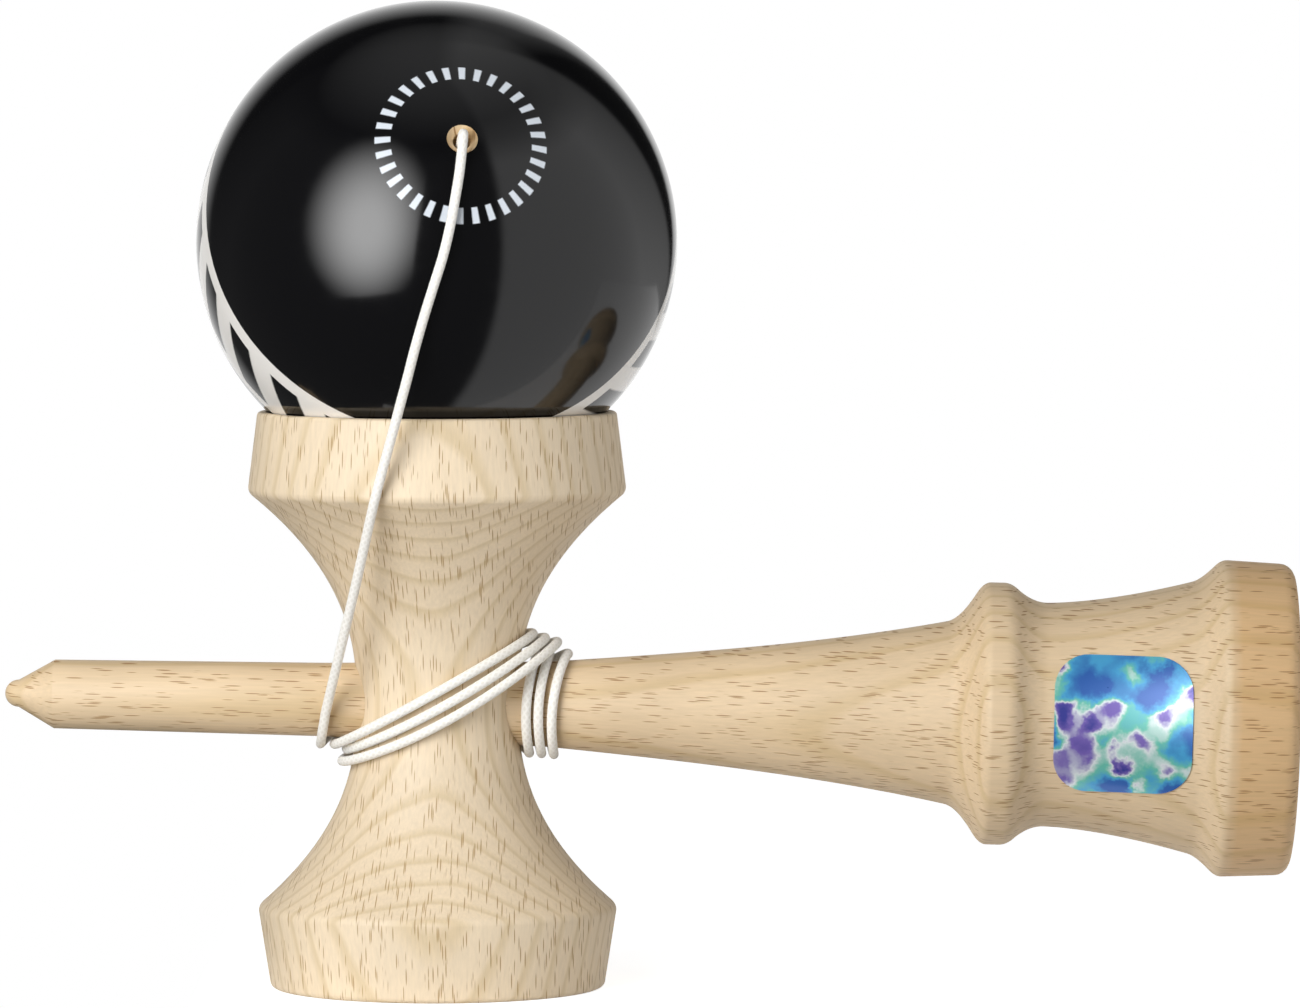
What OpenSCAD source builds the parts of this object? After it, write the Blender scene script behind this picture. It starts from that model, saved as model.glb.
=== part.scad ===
// Kendama: a turned handle with a spike, a cross-piece with two cups, and a ball on a wound string.
// Millimetres. The origin is the middle of the small cup's rim, +Z up the cross-piece, +X along the handle.

/* [Cross-piece] */
// Height from rim to rim
cross_h = 72.1; // [60:0.1:85]
// Height of the handle's axis above the small cup's rim
handle_z = 35.7; // [32:0.1:38]
// Diameter of the waist
waist_d = 20.2; // [18:0.1:24]
// Diameter of the large cup at its rim
large_rim_d = 45; // [42:0.1:50]
// Inner diameter of the large cup at its rim
large_edge_d = 42.8; // [38:0.1:43.4]
// Radius of the large rim's outer edge
large_rim_round = 0.5; // [0.2:0.05:0.7]
// Diameter of the large cup at the foot of its band
large_band_d = 47.2; // [44:0.1:54]
// Height of the large cup's band
large_band_h = 10.8; // [8:0.1:12]
// Depth of the large cup's hollow
large_hollow = 13.4; // [12:0.1:14]
// Diameter of the small cup at its rim
small_rim_d = 42; // [38:0.1:46]
// Inner diameter of the small cup at its rim
small_edge_d = 37.4; // [34:0.1:38.4]
// Radius of the small rim's outer edge
small_rim_round = 0.8; // [0.4:0.05:1.5]
// Diameter of the small cup at the foot of its band
small_band_d = 44.8; // [40:0.1:50]
// Height of the small cup's band
small_band_h = 11; // [8:0.1:12]
// Depth of the small cup's hollow
small_hollow = 9.5; // [6:0.1:11]
// Radius of the rounded foot of each band
band_round = 1.4; // [0.5:0.1:2]

/* [Handle] */
// Length from the cross-piece's axis to the tip of the spike
spike_len = 54.1; // [45:0.1:65]
// Diameter of the spike's blunt tip
spike_tip_d = 3.4; // [1.5:0.1:5]
// Length of the spike's point
spike_point = 6.2; // [4:0.1:12]
// Diameter of the spike behind its point
spike_d = 8.6; // [6:0.1:8.9]
// Length of the tapered seat in the cross-piece
seat_len = 28; // [27:0.1:30]
// Diameter of the seat at its spike end
seat_small_d = 9.2; // [9:0.1:9.8]
// Diameter of the seat at its grip end
seat_large_d = 10.7; // [10.2:0.1:11.2]
// Distance from the cross-piece's axis to the end of the grip
grip_end = 66.1; // [55:0.1:66.4]
// Diameter of the grip at its end
grip_end_d = 23.9; // [18:0.1:27]
// Distance from the cross-piece's axis to the ring
ring_at = 69.8; // [69.6:0.1:74]
// Diameter of the ring
ring_d = 32.8; // [29:0.1:38]
// Length of the ring with both of its flanks
ring_len = 12.5; // [9:0.1:13]
// Diameter of the neck beside the ring
neck_d = 28; // [26:0.1:28.6]
// Distance from the cross-piece's axis to the base cup's band
base_band_at = 98.5; // [92:0.1:100]
// Distance from the cross-piece's axis to the base cup's rim
base_end = 106.8; // [104:0.1:112]
// Diameter of the base cup's band
base_band_d = 39.6; // [36:0.1:44]
// Diameter of the base cup at its rim
base_rim_d = 39; // [36:0.1:39.6]
// Inner diameter of the base cup at its rim
base_edge_d = 34; // [30:0.1:35]
// Radius of the base rim's outer edge
base_rim_round = 1.8; // [0.4:0.05:2]
// Length of the shoulder below the base cup's band
shoulder_len = 4.4; // [3:0.1:6]
// Diameter of the neck where the shoulder starts
shoulder_d = 34; // [31:0.1:37]
// Depth of the base cup's hollow
base_hollow = 8; // [5:0.1:10]
// Lean of the handle's axis off the cross-piece's square, in degrees
handle_lean = 1.2; // [0:0.1:1.5]

/* [Ball] */
// Diameter of the ball
ball_d = 60; // [58:0.1:64]
// Diameter of the spike hole
spike_hole_d = 20; // [16:0.1:22]
// Depth of the spike hole's straight wall
spike_hole_depth = 34; // [28:0.1:36]
// Diameter of the bevel at the spike hole's mouth
spike_bevel_d = 23; // [22.6:0.1:26]
// Diameter of the string hole through the ball
ball_string_hole_d = 2.2; // [1.8:0.1:3]
// Diameter of the countersink at the string hole's mouth
countersink_d = 3.8; // [3.2:0.1:5]
// Rise of the string hole above level, in degrees
hole_rise = 26; // [20:1:32]
// Turn of the string hole to the grip's side, in degrees
hole_turn = 8; // [2:1:14]
// Diameter of the stop bead inside the ball
bead_d = 6; // [5:0.1:8]

/* [String] */
// Diameter of the string
string_d = 1.2; // [1:0.05:1.25]
// Diameter of the string holes in the cross-piece and the handle
string_hole_d = 2; // [1.6:0.1:2.4]
// Diameter of the knot in the handle
handle_knot_d = 3.4; // [2.8:0.1:3.6]
// Diameter of the knot behind the bead
bead_knot_d = 2.8; // [2.4:0.1:3.2]

/* [Label] */
// Length of the label along the handle
label_len = 17; // [12:0.1:18]
// Width of the label round the handle
label_w = 17; // [10:0.1:20]
// Thickness of the label
label_t = 0.15; // [0.1:0.01:0.3]

/* [Hidden] */

// Clearance between the seat and the cross-piece's bore
seat_fit = 0.05;
// Gap between the ball and the large cup's rim
ball_gap = 0.15;
// Gap between the bead and its conical seat
bead_gap = 0.15;
// Gap under the label
label_gap = 0.02;
// Gap between the string and what it lies on
string_lift = 0.25;
// Least gap between neighbouring strands
strand_gap = 0.34;
// Overrun of every cut
overrun = 1;
// Half of the cone angle that seats the bead
bead_cone_half = 45;
// Corners of a round body and steps of a curved outline
fine = 96;
outline_steps = 24;
arc_steps = 6;
flank_steps = 16;
// Steps of the string's short bends, and sides of its tubes
bend_steps = 3;
winding_sides = 6;
lead_sides = 8;
// How sharply the cups flare out of the waist, as a power
flare_power = 2.42;
// Share of the grip's swell that is straight
grip_straight_share = 0.663;
// Power of the rest of the grip's swell
grip_power = 3;
// How sharply the neck swells towards the base cup, as a power
neck_power = 1.6;
// Share of the ring's length that is its flat top
ring_flat_share = 0.13;
// Share of a flank that is hollow, before it turns out into its round edge
flank_hollow_share = 0.68;
// Angle at which each flare runs into its band's rounded foot
foot_angle = 45;

waist_r = waist_d / 2;
ball_r = ball_d / 2;
pitch = string_d + strand_gap;

// Cross-piece outlines, from the waist out to the rim

// Round corner of radius r about a centre, from angle a to angle b
function corner(c, r, a, b) =
  [for (i = [0:arc_steps]) let (t = a + (b - a) * i / arc_steps) c + r * [cos(t), sin(t)]];

// Hollow of a cup, from the rim's inner edge to its middle; edge is the inner radius, z the rim's height
function hollow_r(edge, depth) = (edge * edge + depth * depth) / (2 * depth);
function hollow(edge, depth, z) =
  let (r = hollow_r(edge, depth), turn = asin(edge / r))
  [for (i = [0:outline_steps])
    let (a = turn * (1 - i / outline_steps)) [r * sin(a), z + r - depth - r * cos(a)]];

// Radius of a cup's flare at a height from the crossing, up to where it meets the foot of its band
foot_in = band_round * (1 - cos(foot_angle));
foot_up = band_round * (1 - sin(foot_angle));
function flare_r(v, foot, band_d) =
  waist_r + (band_d / 2 - foot_in - waist_r) * pow(abs(v) / (foot + foot_up), flare_power);

// One cup above the handle's axis: waist, flare, band, rim and hollow, for the lathe
function cup(rise, rim_d, edge_d, rim_round, band_d, band_h, depth) =
  let (foot = rise - band_h)
  concat(
    [for (i = [0:outline_steps])
      let (v = (foot + foot_up) * i / outline_steps) [flare_r(v, foot, band_d), v]],
    corner([band_d / 2 - band_round, foot + band_round], band_round, -foot_angle, 0),
    corner([rim_d / 2 - rim_round, rise - rim_round], rim_round, 0, 90),
    hollow(edge_d / 2, depth, rise)
  );

large_rise = cross_h - handle_z;
ball_z = cross_h + sqrt(pow(ball_r + ball_gap, 2) - pow(large_edge_d / 2, 2));

large_cup =
  cup(large_rise, large_rim_d, large_edge_d, large_rim_round, large_band_d, large_band_h, large_hollow);
small_cup =
  cup(handle_z, small_rim_d, small_edge_d, small_rim_round, small_band_d, small_band_h, small_hollow);

// Handle outline

tip_r = spike_tip_d / 2;
seat_half = seat_len / 2;
grip_swell = (grip_end_d - seat_large_d) / 2;
ring_r = ring_d / 2;
ring_flank = ring_len * (1 - ring_flat_share) / 2;
ring_from = ring_at - ring_len / 2;
ring_foot_at = ring_at + ring_len / 2;
shoulder_at = base_band_at - shoulder_len;

// Radius of the seat and the grip at a distance from the cross-piece's axis
function seat_r(u) = (seat_small_d + (seat_large_d - seat_small_d) * (u + seat_half) / seat_len) / 2;
function grip_r(u) =
  let (t = max(0, (u - seat_half) / (grip_end - seat_half)))
  seat_large_d / 2 + grip_swell * (grip_straight_share * t + (1 - grip_straight_share) * pow(t, grip_power));
function handle_r(u) = u < seat_half ? seat_r(u) : grip_r(u);
// Radius of the neck between the ring and the shoulder
function neck_r(u) =
  let (t = (u - ring_foot_at) / (shoulder_at - ring_foot_at))
  neck_d / 2 + (shoulder_d - neck_d) / 2 * pow(max(0, t), neck_power);

// Radius on a flank that runs smoothly from its foot to its top, at a share t of its length
function flank_r(foot, top, t) =
  foot + (top - foot) * (t < flank_hollow_share
    ? t * t / flank_hollow_share
    : 1 - (1 - t) * (1 - t) / (1 - flank_hollow_share));

handle_outline = concat(
  [[0, -spike_len]],
  [for (i = [1:arc_steps])
    let (a = 90 * i / arc_steps) [tip_r * sin(a), -spike_len + tip_r * (1 - cos(a))]],
  [[spike_d / 2, -spike_len + spike_point]],
  [[seat_small_d / 2, -seat_half]],
  [for (i = [0:outline_steps])
    let (u = seat_half + (ring_from - seat_half) * i / outline_steps) [grip_r(u), u]],
  [for (i = [1:flank_steps])
    let (t = i / flank_steps, u = ring_from + ring_flank * t) [flank_r(grip_r(u), ring_r, t), u]],
  [for (i = [0:flank_steps])
    let (t = 1 - i / flank_steps) [flank_r(neck_d / 2, ring_r, t), ring_foot_at - ring_flank * t]],
  [for (i = [1:outline_steps])
    let (u = ring_foot_at + (shoulder_at - ring_foot_at) * i / outline_steps) [neck_r(u), u]],
  [for (i = [1:flank_steps])
    let (t = i / flank_steps, u = shoulder_at + shoulder_len * t) [flank_r(neck_r(u), base_band_d / 2, t), u]],
  corner([base_rim_d / 2 - base_rim_round, base_end - base_rim_round], base_rim_round, 0, 90),
  hollow(base_edge_d / 2, base_hollow, base_end)
);

// Ball: its holes share one axis, which leaves through the string hole

hole_dir = [sin(hole_turn) * cos(hole_rise), -cos(hole_turn) * cos(hole_rise), sin(hole_rise)];
ball_centre = [0, 0, ball_z];
// Places along that axis, from the ball's centre
spike_mouth = -sqrt(ball_r * ball_r - pow(spike_bevel_d / 2, 2));
bevel = (spike_bevel_d - spike_hole_d) / 2;
spike_floor = spike_mouth + bevel + spike_hole_depth;
cone_tip = spike_floor + spike_hole_d / 2 / tan(bead_cone_half);
bead_at = cone_tip - (bead_d / 2 + bead_gap) / sin(bead_cone_half);
// How far the knot is drawn into the mouth of the bead
knot_sink = 0.4;
bead_knot_at = bead_at - bead_d / 2 - bead_knot_d / 2 + knot_sink;

// String: places are [along the handle, up, towards the front], from the axes' crossing

string_r = string_d / 2;
waist_gap = string_r + string_lift;
// The handle's knot lies in a round recess on the front of the handle
recess_d = handle_knot_d + string_lift;
knot_w = seat_r(0) - handle_knot_d / 2 - string_lift;
// The tail ends inside the cross-piece, one string diameter short of the mouth
mouth_w = -waist_r;
tail_w = mouth_w + string_d;
bend_r = waist_gap + string_lift;

// Turns round the grip, from under it beside the waist to the top of it
turn_count = 2.5;
turn_from = waist_flare(seat_large_d / 2 + waist_gap) + waist_gap + string_lift;
turn_last = turn_from + turn_count * pitch;
// How far the last half turn runs on along the grip, as a share of the pitch
turn_run_share = 0.5;
turn_to = turn_last + turn_run_share * pitch;
// How far each turn leans to the waist on the front and the back of the grip
turn_lean = 0.8;
loop_rings = 24;
half_rings = loop_rings / 2;
// Loops round the crossing, three of them, before the lead
loops = 3;
// Reach of the loops in front of and behind the crossing
front_reach = waist_r + waist_gap + string_lift;
back_reach = waist_r + waist_gap + pitch + string_lift;
// Sag of each front strand below the one above it, and rise of each back strand, in strand pitches
front_sag_share = 0.5;
back_rise_share = 0.6;
back_sag_share = 0.75;
// Rise of each strand over the grip above the one before it, in strand pitches
over_rise_share = 0.36;

// Radius of the cross-piece at a height from the crossing, near the waist
function waist_flare(v) = flare_r(v, large_rise - large_band_h, large_band_d);

// Places where the loops cross over the grip and under the spike
function over_grip(i) =
  let (u = turn_last - string_r - i * pitch)
  [u, handle_r(u) + waist_gap + pitch * (1 + i * over_rise_share)];
spike_under = -seat_small_d / 2 - waist_gap - (seat_r(-turn_from) - seat_small_d / 2);
spike_side = waist_flare(spike_under) + waist_gap;
// Steps from strand to strand under the spike, out along it and down, as shares of the pitch
under_out_shares = [0.35, 0, 1, 2.1];
under_down_shares = [1.35, 0.36, 0, 0];
under_spike = [for (i = [0:loops])
  [-spike_side - under_out_shares[i] * pitch, spike_under - under_down_shares[i] * pitch]];

// Half a loop from a to b, bowed at its middle, out to a reach in front or behind
function half_loop(a, b, bow, reach, from, to) =
  [for (i = [from:to])
    let (s = 180 * i / half_rings, p = a + (b - a) * (1 - cos(s)) / 2)
    [p[0], p[1] + bow * pow(sin(s), 2), reach * sin(s)]];

// Distance of a turn's middle line from the handle's axis
function turn_radius(u) = handle_r(u) + waist_gap;
// Out of the hole behind the waist, and down under the grip
start_dir = [turn_from, -turn_radius(turn_from)] / norm([turn_from, turn_radius(turn_from)]);
start_bend = [for (i = [0:bend_steps])
  let (a = 90 * i / bend_steps, s = bend_r * (1 - cos(a)))
  [start_dir[0] * s, start_dir[1] * s, mouth_w - bend_r * sin(a)]];
start_reach = bend_r - mouth_w;
start_path = concat(
  [[0, 0, tail_w]],
  start_bend,
  [for (i = [1:half_rings / 2 - 1])
    let (s = 90 + 180 * i / half_rings)
    [-turn_from * cos(s), turn_radius(turn_from) * cos(s), -start_reach * sin(s)]]
);
turn_path = [for (i = [0:turn_count * loop_rings])
  let (
    a = -90 + 360 * i / loop_rings,
    t = i / loop_rings,
    run = max(0, 1 - 2 * (turn_count - t)),
    u = turn_from + t * pitch + (turn_to - turn_last) * run * run,
    r = turn_radius(u)
  )
  [u - turn_lean * pow(cos(a), 2), r * sin(a), r * cos(a)]];
loop_path = [for (i = [0:loops])
  let (
    from = i == 0 ? [turn_to, turn_radius(turn_to)] : over_grip(i - 1),
    back_bow = (i * back_rise_share - back_sag_share) * pitch,
    front_bow = -(loops - 1 - i) * front_sag_share * pitch,
    front_out = front_reach + (loops - 1 - i) * string_lift / 2
  )
  each concat(
    half_loop(from, under_spike[i], back_bow, -back_reach, 1, half_rings),
    i == loops ? [] : half_loop(under_spike[i], over_grip(i), front_bow, front_out, 1, half_rings)
  )];
// The last strand turns up round the front of the spike, and leaves it straight for the ball
lead_turn = 57;
lead_drift_share = 0.17;
last = under_spike[loops];
lead_path = [for (i = [1:bend_steps])
  let (a = lead_turn * i / bend_steps)
  [last[0] + lead_drift_share * (1 - cos(a)) * -last[1], last[1] * cos(a), -last[1] * sin(a)]];
lead_dir = [lead_drift_share * sin(lead_turn), sin(lead_turn), cos(lead_turn)];
lead_from = lead_path[bend_steps - 1] + string_d * lead_dir / norm(lead_dir);
winding_path = concat(start_path, turn_path, loop_path, lead_path, [lead_from]);

// The same places in the part's frame
function placed(p) = [
  p[0] * cos(handle_lean) + p[1] * sin(handle_lean),
  -p[2],
  handle_z - p[0] * sin(handle_lean) + p[1] * cos(handle_lean),
];
winding_points = [for (p = winding_path) placed(p)];

// Route of the lead from the spike, over the large cup's band and up the ball to its string hole
lead_route = [
  [-12.6, -9.2, 39.6], [-11.2, -12.8, 45.2], [-9.8, -16.4, 50.8], [-8.5, -19.9, 56.3],
  [-7.2, -23.4, 61.8], [-6.2, -24.6, 65.6], [-5.2, -25.6, 69.2], [-4.1, -26.7, 73.2],
  [-3, -27.8, 77.2], [-2, -28.8, 81], [-0.9, -29.7, 84.8], [0.3, -30.5, 88.6],
  [1.5, -30.9, 92.4], [2.4, -30.7, 96.2], [3, -30.1, 99.6], [3.5, -29.3, 102.8],
];
lead_mouth_in = string_d;
lead_points = concat(
  [placed(lead_from)],
  [placed(lead_from + string_d * lead_dir / norm(lead_dir))],
  lead_route,
  [ball_centre + (ball_r + string_d) * hole_dir],
  [ball_centre + (ball_r - lead_mouth_in) * hole_dir]
);

// Tubes

function unit(v) = v / norm(v);
function along(p, i) = unit(p[min(i + 1, len(p) - 1)] - p[max(i - 1, 0)]);
function square_to(v, t) = unit(v - (v * t) * t);
function first_side(t) = square_to(abs(t[2]) < 0.9 ? [0, 0, 1] : [1, 0, 0], t);
// One side direction for each point, carried along the path without twist
function sides_of(p) =
  [for (i = 0, n = first_side(along(p, 0)); i < len(p);
    i = i + 1, n = square_to(n, along(p, min(i, len(p) - 1)))) n];
// One unbroken tube through the points of a path
module tube(p, d, sides) {
  n = sides_of(p);
  rings = [for (i = [0:len(p) - 1])
    let (t = along(p, i), b = cross(t, n[i]))
    for (k = [0:sides - 1])
      let (a = 360 * k / sides) p[i] + d / 2 * (cos(a) * n[i] + sin(a) * b)];
  end = (len(p) - 1) * sides;
  walls = [for (i = [0:len(p) - 2], k = [0:sides - 1])
    let (a = i * sides + k, b = i * sides + (k + 1) % sides)
    each [[a, a + sides, b], [b, a + sides, b + sides]]];
  caps = [for (k = [1:sides - 2]) each [[0, k, k + 1], [end, end + k + 1, end + k]]];
  polyhedron(points = rings, faces = concat(walls, caps), convexity = 10);
}

// Least distance of a point to a stretch between two points
function to_stretch(q, a, b) =
  let (ab = b - a, t = max(0, min(1, (q - a) * ab / (ab * ab)))) norm(q - a - t * ab);
// Points nearer along the string than this many rings are its own neighbours
own_rings = 6;
winding_gap = min([for (i = [0:len(winding_points) - 1], j = [i + own_rings:1:len(winding_points) - 2])
  to_stretch(winding_points[i], winding_points[j], winding_points[j + 1])]) - string_d;
echo(least_gap_of_winding_mm = winding_gap);

// Places pieces on the handle's axis, with their own Z along it
module on_handle() {
  translate([0, 0, handle_z])
    rotate([0, handle_lean, 0])
      rotate([0, 90, 0])
        children();
}
// Places pieces on the ball's hole axis, with their own Z out through the string hole
module on_ball() {
  translate(ball_centre)
    rotate([0, 0, hole_turn])
      rotate([90 - hole_rise, 0, 0])
        children();
}
// A straight hole or string across the handle, from front to back places
module across(from, to, d) {
  translate([0, 0, handle_z])
    rotate([90, 0, 0])
      translate([0, 0, min(from, to)])
        cylinder(h = abs(to - from), d = d, $fn = fine);
}

module cross_piece() {
  color("#e3cda6")
    difference() {
      union() {
        translate([0, 0, handle_z])
          rotate_extrude($fn = fine)
            polygon(concat([[0, 0]], large_cup));
        translate([0, 0, handle_z])
          mirror([0, 0, 1])
            rotate_extrude($fn = fine)
              polygon(concat([[0, 0]], small_cup));
      }
      on_handle()
        translate([0, 0, -seat_half])
          cylinder(
            h = seat_len,
            d1 = seat_small_d + 2 * seat_fit,
            d2 = seat_large_d + 2 * seat_fit,
            $fn = fine
          );
      across(0, -waist_r - overrun, string_hole_d);
      // Countersink where the string turns out of its hole
      translate([0, 0, handle_z])
        rotate([90, 0, 0])
          translate([0, 0, -waist_r - overrun])
            cylinder(
              h = overrun + bend_r,
              d1 = string_hole_d + 2 * (overrun + bend_r),
              d2 = string_hole_d,
              $fn = fine
            );
    }
}

module handle() {
  color("#d9b07c")
    difference() {
      on_handle() rotate_extrude($fn = fine) polygon(handle_outline);
      across(seat_large_d, -seat_large_d, string_hole_d);
      across(knot_w - handle_knot_d / 2, seat_large_d, recess_d);
    }
}

module ball() {
  color("#161616")
    on_ball()
      difference() {
        sphere(r = ball_r, $fn = fine);
        translate([0, 0, spike_mouth + bevel])
          cylinder(h = spike_hole_depth, d = spike_hole_d, $fn = fine);
        translate([0, 0, -ball_r - overrun])
          cylinder(
            h = ball_r + overrun + spike_mouth + bevel,
            d1 = spike_bevel_d + 2 * (ball_r + overrun + spike_mouth),
            d2 = spike_hole_d,
            $fn = fine
          );
        translate([0, 0, spike_floor])
          cylinder(h = cone_tip - spike_floor, d1 = spike_hole_d, d2 = 0, $fn = fine);
        cylinder(h = ball_r + overrun, d = ball_string_hole_d, $fn = fine);
        translate([0, 0, ball_r - (countersink_d - ball_string_hole_d) / 2])
          cylinder(
            h = (countersink_d - ball_string_hole_d) / 2 + overrun,
            d1 = ball_string_hole_d,
            d2 = countersink_d + 2 * overrun,
            $fn = fine
          );
      }
}

module stop_bead() {
  color("#c9a06a")
    on_ball()
      translate([0, 0, bead_at])
        difference() {
          sphere(d = bead_d, $fn = fine);
          translate([0, 0, -bead_d])
            cylinder(h = 2 * bead_d, d = string_d + 2 * string_lift, $fn = fine);
        }
}

module bead_knot() {
  color("#f1efea")
    on_ball()
      translate([0, 0, bead_knot_at])
        difference() {
          sphere(d = bead_knot_d, $fn = fine);
          cylinder(h = bead_knot_d, d = string_d, $fn = fine);
          translate([0, 0, bead_at - bead_knot_at])
            sphere(d = bead_d, $fn = fine);
        }
}

module handle_knot() {
  color("#f1efea")
    difference() {
      translate([0, -knot_w, handle_z]) sphere(d = handle_knot_d, $fn = fine);
      across(knot_w, knot_w - handle_knot_d, string_d);
    }
}

module string_winding() {
  color("#f1efea") tube(winding_points, string_d, winding_sides);
}

module string_lead() {
  color("#f1efea") tube(lead_points, string_d, lead_sides);
}

module string_tail() {
  color("#f1efea") across(knot_w, tail_w, string_d);
}

module string_in_ball() {
  color("#f1efea")
    on_ball()
      translate([0, 0, bead_knot_at])
        cylinder(h = ball_r - lead_mouth_in - bead_knot_at, d = string_d, $fn = fine);
}

// The label is a thin skin on the neck, cut to a round-cornered outline
label_at = (ring_foot_at + shoulder_at) / 2;
label_round = label_w / 4;
function label_skin(off) =
  [for (i = [0:outline_steps])
    let (u = ring_foot_at + (shoulder_at - ring_foot_at) * i / outline_steps) [neck_r(u) + off, u]];
module label() {
  color("#7fb6d6")
    intersection() {
      on_handle()
        rotate_extrude($fn = fine)
          polygon(concat(
            label_skin(label_gap),
            [for (i = [outline_steps:-1:0]) label_skin(label_gap + label_t)[i]]
          ));
      translate([0, 0, handle_z])
        rotate([0, handle_lean, 0])
          translate([label_at, 0, 0])
            rotate([90, 0, 0])
              linear_extrude(height = ring_d)
                hull()
                  for (x = [-1, 1], z = [-1, 1])
                    translate([x * (label_len / 2 - label_round), z * (label_w / 2 - label_round)])
                      circle(r = label_round, $fn = fine / 3);
    }
}

cross_piece();
handle();
ball();
stop_bead();
bead_knot();
handle_knot();
string_winding();
string_lead();
string_tail();
string_in_ball();
label();
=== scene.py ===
# %% [markdown]
# # A turned wooden kendama
# The toy stands on its small cup with the handle level, the ball in the large cup and the string wound
# round the crossing. The frame holds the measured solids, and this lesson dresses them: three turned
# pieces of wood, a lacquered ball, a braided string and a foil label.

# %% Load the measured frame
from math import asin, ceil, cos, pi, radians, sin, sqrt

import bmesh
import bpy
from mathutils import Matrix, Vector


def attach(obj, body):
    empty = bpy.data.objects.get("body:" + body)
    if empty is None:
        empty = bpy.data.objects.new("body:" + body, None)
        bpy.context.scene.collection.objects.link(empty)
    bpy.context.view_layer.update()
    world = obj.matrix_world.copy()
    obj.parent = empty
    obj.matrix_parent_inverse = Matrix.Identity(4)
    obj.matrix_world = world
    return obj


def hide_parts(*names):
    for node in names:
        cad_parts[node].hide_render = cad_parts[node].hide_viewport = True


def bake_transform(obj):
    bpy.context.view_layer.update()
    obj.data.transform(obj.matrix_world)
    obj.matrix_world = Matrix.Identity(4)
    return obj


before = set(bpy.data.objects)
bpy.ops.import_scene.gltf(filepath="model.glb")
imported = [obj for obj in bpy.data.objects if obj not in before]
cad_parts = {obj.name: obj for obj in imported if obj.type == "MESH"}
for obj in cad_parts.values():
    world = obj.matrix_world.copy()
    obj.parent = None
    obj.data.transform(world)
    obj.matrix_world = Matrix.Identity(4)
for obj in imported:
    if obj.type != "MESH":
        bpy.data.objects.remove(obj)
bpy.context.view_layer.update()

MM = 0.001

# %% [markdown]
# ## Camera
# The photograph was taken with a long lens from a little over a metre away, a few degrees above level.
# The scale at the cross-piece's axis is 8 pixels to the millimetre, and the picture is 1300 pixels wide,
# so the distance and the lens follow from each other. The camera looks at the place that is in the middle
# of the picture.

# %% Camera at the photograph's viewpoint
PICTURE_W = 1300
PIXELS_PER_MM = 8.0
VIEW_DISTANCE = 1119 * MM
VIEW_DOWN = radians(3.13)
AIM = Vector((26.6, 0, 60.5)) * MM

camera_data = bpy.data.cameras.new("camera")
camera_data.sensor_width = 36
camera_data.lens = PIXELS_PER_MM * VIEW_DISTANCE / MM / PICTURE_W * camera_data.sensor_width
camera_data.clip_start = 0.01
camera = bpy.data.objects.new("camera", camera_data)
camera.location = AIM + Vector((0, -cos(VIEW_DOWN), sin(VIEW_DOWN))) * VIEW_DISTANCE
camera.rotation_euler = (pi / 2 - VIEW_DOWN, 0, 0)
bpy.context.scene.collection.objects.link(camera)
bpy.context.scene.camera = camera
print("lens, mm:", round(camera_data.lens, 1))

# %% [markdown]
# ## Sizes
# Every piece keeps the sizes of the measured solids, so the values are the same, in millimetres. The
# handle leans a little, because its bore is not quite square to the cross-piece, and the ball's holes
# share one axis that leaves through the string hole.

# %% Sizes of the turned pieces
CROSS_H, HANDLE_Z, WAIST_R = 72.1, 35.7, 10.1
LARGE_CUP = dict(rise=CROSS_H - HANDLE_Z, rim=22.5, edge=21.4, rim_round=0.5, band=23.6, band_h=10.8,
                 deep=13.4)
SMALL_CUP = dict(rise=HANDLE_Z, rim=21, edge=18.7, rim_round=0.8, band=22.4, band_h=11, deep=9.5)
BAND_ROUND, FLARE_POWER, FOOT_ANGLE = 1.4, 2.42, 45
SPIKE_LEN, TIP_R, POINT, SPIKE_R = 54.1, 1.7, 6.2, 4.3
SEAT_HALF, SEAT_SMALL_R, SEAT_LARGE_R, SEAT_FIT = 14, 4.6, 5.35, 0.05
GRIP_END, GRIP_END_R, GRIP_STRAIGHT, GRIP_POWER = 66.1, 11.95, 0.663, 3
RING_AT, RING_R, RING_LEN, RING_FLAT, FLANK_HOLLOW = 69.8, 16.4, 12.5, 0.13, 0.68
NECK_R, NECK_POWER, SHOULDER_AT, SHOULDER_LEN, SHOULDER_R = 14, 1.6, 94.1, 4.4, 17
BASE_END, BASE_BAND_R, BASE_RIM_R, BASE_RIM_ROUND = 106.8, 19.8, 19.5, 1.8
BASE_EDGE_R, BASE_DEEP = 17, 8
LEAN = radians(1.2)
BALL_R, BALL_GAP = 30, 0.15
BALL_Z = CROSS_H + sqrt((BALL_R + BALL_GAP) ** 2 - LARGE_CUP["edge"] ** 2)
HOLE_RISE, HOLE_TURN = radians(26), radians(8)
BORE_R, BEVEL_R, BORE_DEEP, STRING_HOLE_R, COUNTERSINK_R = 10, 11.5, 34, 1.1, 1.9
BEAD_R, BEAD_GAP, BEAD_KNOT_R, KNOT_SINK = 3, 0.15, 1.4, 0.4
STRING_R, HANDLE_HOLE_R, HANDLE_KNOT_R = 0.6, 1, 1.7

hole_dir = Vector((sin(HOLE_TURN) * cos(HOLE_RISE), -cos(HOLE_TURN) * cos(HOLE_RISE), sin(HOLE_RISE)))
ball_centre = Vector((0, 0, BALL_Z))

# Places along the axis of the ball's holes, from the ball's centre
mouth_at = -sqrt(BALL_R ** 2 - BEVEL_R ** 2)
floor_at = mouth_at + (BEVEL_R - BORE_R) + BORE_DEEP
cone_tip = floor_at + BORE_R
bead_at = cone_tip - (BEAD_R + BEAD_GAP) / sin(pi / 4)
bead_knot_at = bead_at - BEAD_R - BEAD_KNOT_R + KNOT_SINK

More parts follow.
